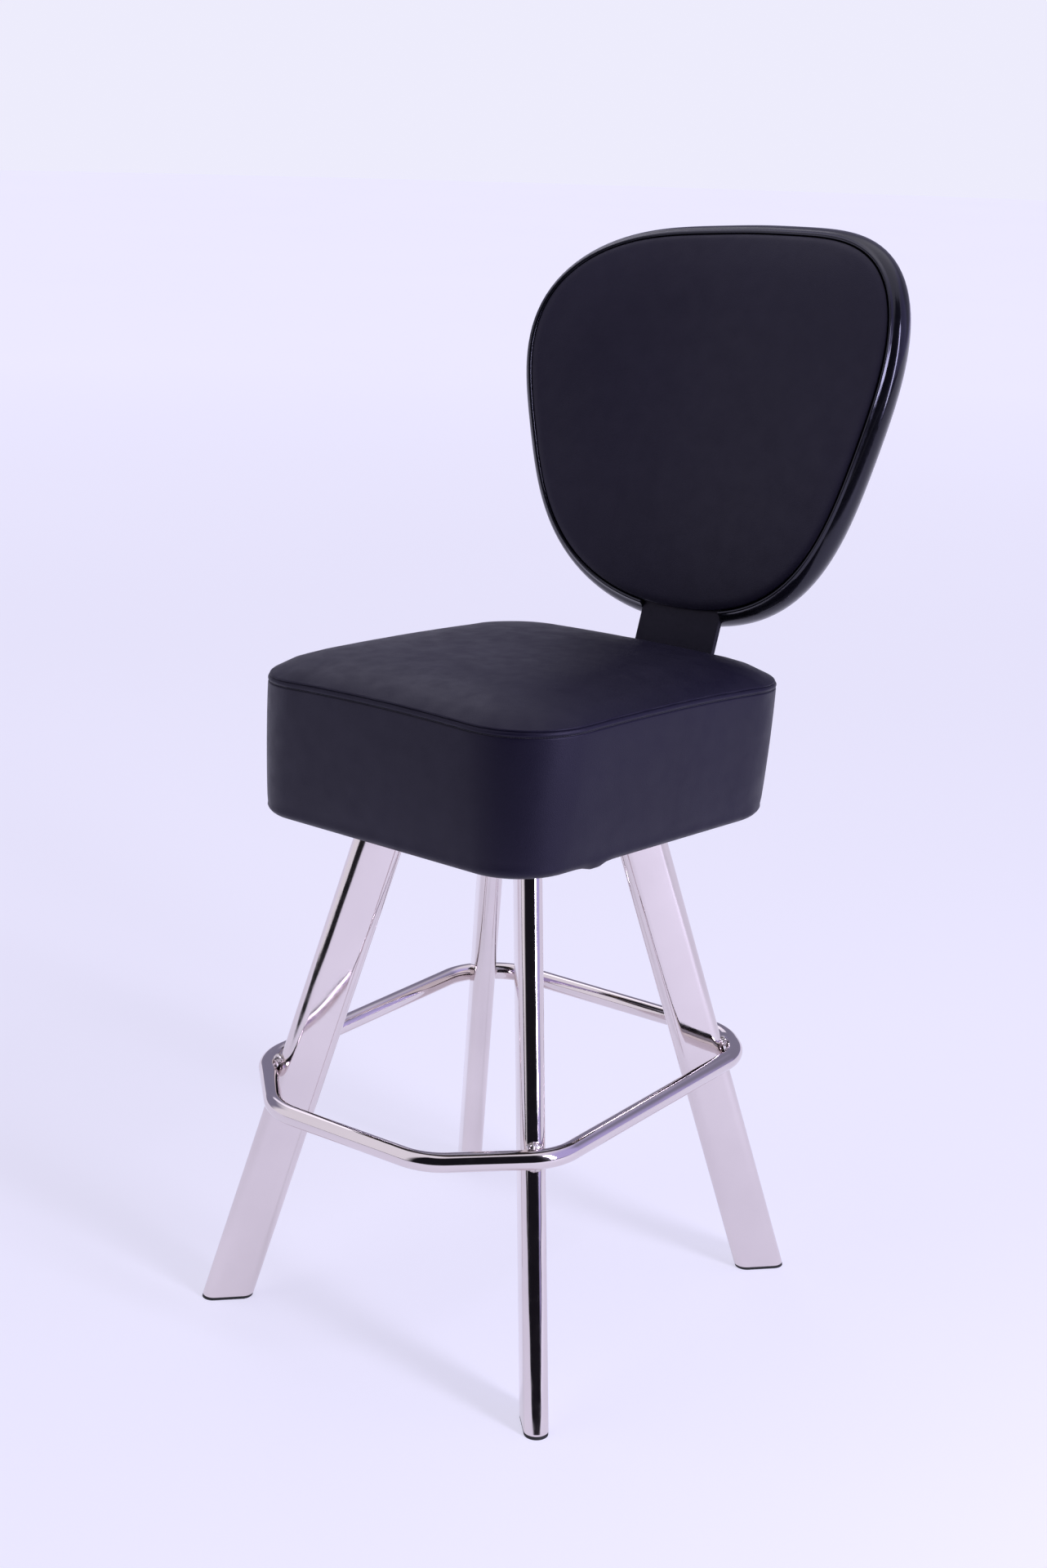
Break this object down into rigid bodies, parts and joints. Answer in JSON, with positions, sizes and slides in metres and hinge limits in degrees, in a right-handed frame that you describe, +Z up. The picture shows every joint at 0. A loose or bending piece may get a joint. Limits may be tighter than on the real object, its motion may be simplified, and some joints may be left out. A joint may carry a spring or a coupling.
{
  "type": "swivel bar stool",
  "caption": "Fixed-height swivel bar stool with splayed flat-oval chrome legs, bent foot ring, boxed black cushion and curved rimmed backrest.",
  "frame": {"origin": "on the floor, at the middle of the whole stool's footprint box", "axes": "+Z up; the foot ring's long side and the sitter face -Y, with the seat turned 6.8 degrees on its swivel at rest; +X is to the right as seen from the front"},
  "size_m": [0.5378, 0.741, 1.2131],
  "materials": {
    "chrome": "polished chrome",
    "steel": "plain plated steel",
    "zinc": "zinc plated",
    "black_steel": "satin black paint",
    "black_vinyl": "satin black vinyl-coated upholstery cloth",
    "gloss_black": "gloss black",
    "black_rubber": "matt black",
    "black_cloth": "thin black dust cloth",
    "plywood": "bare plywood"
  },
  "bodies": {
    "base": {"base_plate": "steel", "foot_ring": "chrome", "swivel_ball_race": "zinc", "swivel_lower_plate": "steel", "leg_front_right": "chrome", "leg_back_right": "chrome", "leg_back_left": "chrome", "leg_front_left": "chrome", "glide_front_right": "black_rubber", "glide_back_right": "black_rubber", "glide_back_left": "black_rubber", "glide_front_left": "black_rubber", "weld_above_front_right": "chrome", "weld_above_back_right": "chrome", "weld_above_back_left": "chrome", "weld_above_front_left": "chrome", "weld_below_front_right": "chrome", "weld_below_back_right": "chrome", "weld_below_back_left": "chrome", "weld_below_front_left": "chrome", "base_bolt_1": "zinc", "base_bolt_2": "zinc", "base_bolt_3": "zinc", "base_bolt_4": "zinc"},
    "seat": {"back_board": "plywood", "back_bracket": "black_steel", "back_pad": "black_vinyl", "back_shell": "gloss_black", "bracket_screw_1": "zinc", "bracket_screw_2": "zinc", "bracket_screw_3": "zinc", "bracket_screw_4": "zinc", "dust_cover": "black_cloth", "seat_board": "plywood", "seat_cushion": "black_vinyl", "seat_screw_1": "zinc", "seat_screw_2": "zinc", "seat_screw_3": "zinc", "seat_screw_4": "zinc", "shell_screw_1": "zinc", "shell_screw_2": "zinc", "shell_screw_3": "zinc", "shell_screw_4": "zinc", "swivel_pivot": "zinc", "swivel_upper_plate": "steel"}
  },
  "joints": [
    {"name": "seat_swivel", "type": "hinge", "parent": "base", "child": "seat", "pos_m": [-0.02298, -0.08148, 0.583], "axis": [0, 0, 1], "continuous": true}
  ]
}
